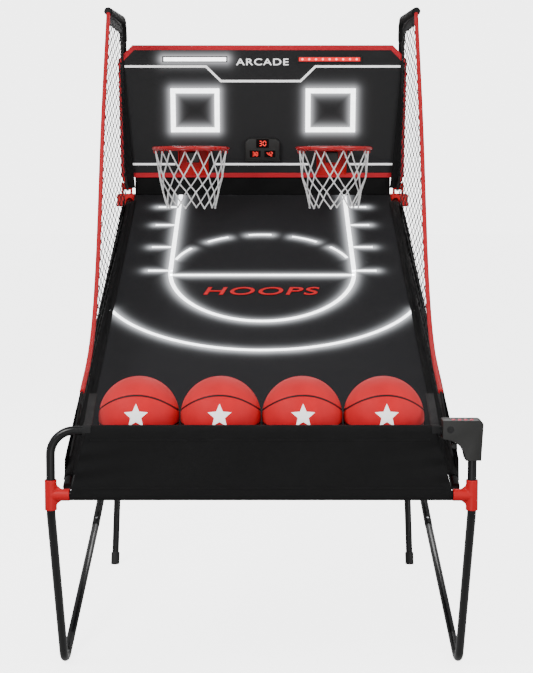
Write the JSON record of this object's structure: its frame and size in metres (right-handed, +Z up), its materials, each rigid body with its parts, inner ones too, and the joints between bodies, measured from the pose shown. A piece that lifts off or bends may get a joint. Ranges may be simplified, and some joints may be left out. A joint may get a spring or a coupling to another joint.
{
  "type": "basketball hoop machine",
  "caption": "Free-standing home basketball shooting game: sloping cloth playfield, board with hoops and nets, side netting, tube frame, ball trough.",
  "frame": {"origin": "on the floor, in the middle of the bounding box", "axes": "+Z up, -Y towards the player, +X to the player's right"},
  "size_m": [1.182, 2.02, 2.0395],
  "materials": {
    "tube": "gloss black powder coat",
    "red_moulding": "satin red moulding",
    "steel": "zinc plated",
    "field_cloth": "matte printed cloth",
    "black_cloth": "matte cloth",
    "netting": "knotless netting",
    "webbing": "woven webbing",
    "rubber": "matte",
    "cable": "satin jacket",
    "casing": "fine grain",
    "red_button": "soft gloss",
    "ball_rubber": "pebbled",
    "hoop_paint": "gloss red powder coat",
    "white_cord": "braided cord",
    "board": "cloth-covered board"
  },
  "bodies": {
    "base_frame": {"front_rail": "tube", "lower_cross_bar": "tube", "rear_cross_bar": "tube", "playfield": "field_cloth", "front_panel": "black_cloth", "rear_skirt": "black_cloth", "control_box_front": "casing", "control_box_back": "casing", "clamp_knob": "casing", "control_cable": "cable", "front_tee_left": "red_moulding", "front_leg_left": "tube", "strut_lower_left": "tube", "strut_upper_left": "tube", "rear_leg_left": "tube", "rear_foot_left": "rubber", "ramp_tube_left": "tube", "net_strap_left": "webbing", "side_net_left": "netting", "hinge_lower_left": "red_moulding", "hinge_pin_left": "steel", "brace_bolt_left": "steel", "front_tee_right": "red_moulding", "front_leg_right": "tube", "strut_lower_right": "tube", "strut_upper_right": "tube", "rear_leg_right": "tube", "rear_foot_right": "rubber", "ramp_tube_right": "tube", "net_strap_right": "webbing", "side_net_right": "netting", "hinge_lower_right": "red_moulding", "hinge_pin_right": "steel", "brace_bolt_right": "steel"},
    "upper_frame": {"board_rail_lower": "tube", "board_rail_upper": "tube", "backboard": "board", "scoreboard": "casing", "hinge_upper_left": "red_moulding", "upright_left": "tube", "hoop_ring_left": "hoop_paint", "hoop_bracket_left": "hoop_paint", "hoop_sensor_left": "casing", "hoop_net_left": "white_cord", "hinge_upper_right": "red_moulding", "upright_right": "tube", "hoop_ring_right": "hoop_paint", "hoop_bracket_right": "hoop_paint", "hoop_sensor_right": "casing", "hoop_net_right": "white_cord"},
    "game_button_1": {"game_button_1": "red_button"},
    "game_button_2": {"game_button_2": "red_button"},
    "game_button_3": {"game_button_3": "red_button"},
    "game_button_4": {"game_button_4": "red_button"},
    "snap_button_left": {"snap_button_left": "steel"},
    "snap_button_right": {"snap_button_right": "steel"},
    "ball_1": {"ball_1": "ball_rubber"},
    "ball_2": {"ball_2": "ball_rubber"},
    "ball_3": {"ball_3": "ball_rubber"},
    "ball_4": {"ball_4": "ball_rubber"}
  },
  "joints": [
    {"name": "upper_frame_fold", "type": "hinge", "parent": "base_frame", "child": "upper_frame", "pos_m": [0, 0.984, 1.385], "axis": [1, 0, 0], "range_deg": [0, 35], "deforming": ["side_net_left", "side_net_right", "rear_skirt", "hoop_net_left", "hoop_net_right"]},
    {"name": "game_button_1_press", "type": "slide", "parent": "base_frame", "child": "game_button_1", "axis": [0, 0, -1], "range_m": [0, 0.0015], "stiffness_N_per_m": 300},
    {"name": "game_button_2_press", "type": "slide", "parent": "base_frame", "child": "game_button_2", "axis": [0, 0, -1], "range_m": [0, 0.0015], "stiffness_N_per_m": 300},
    {"name": "game_button_3_press", "type": "slide", "parent": "base_frame", "child": "game_button_3", "axis": [0, 0, -1], "range_m": [0, 0.0015], "stiffness_N_per_m": 300},
    {"name": "game_button_4_press", "type": "slide", "parent": "base_frame", "child": "game_button_4", "axis": [0, 0, -1], "range_m": [0, 0.0015], "stiffness_N_per_m": 300},
    {"name": "snap_button_left_press", "type": "slide", "parent": "base_frame", "child": "snap_button_left", "axis": [0, 0.319, -0.9478], "range_m": [0, 0.0025], "stiffness_N_per_m": 600},
    {"name": "snap_button_right_press", "type": "slide", "parent": "base_frame", "child": "snap_button_right", "axis": [0, 0.319, -0.9478], "range_m": [0, 0.0025], "stiffness_N_per_m": 600},
    {"name": "ball_1_lift", "type": "slide", "parent": "base_frame", "child": "ball_1", "axis": [0, 0, 1], "range_m": [0, 0.25]},
    {"name": "ball_2_lift", "type": "slide", "parent": "base_frame", "child": "ball_2", "axis": [0, 0, 1], "range_m": [0, 0.25]},
    {"name": "ball_3_lift", "type": "slide", "parent": "base_frame", "child": "ball_3", "axis": [0, 0, 1], "range_m": [0, 0.25]},
    {"name": "ball_4_lift", "type": "slide", "parent": "base_frame", "child": "ball_4", "axis": [0, 0, 1], "range_m": [0, 0.25]}
  ]
}
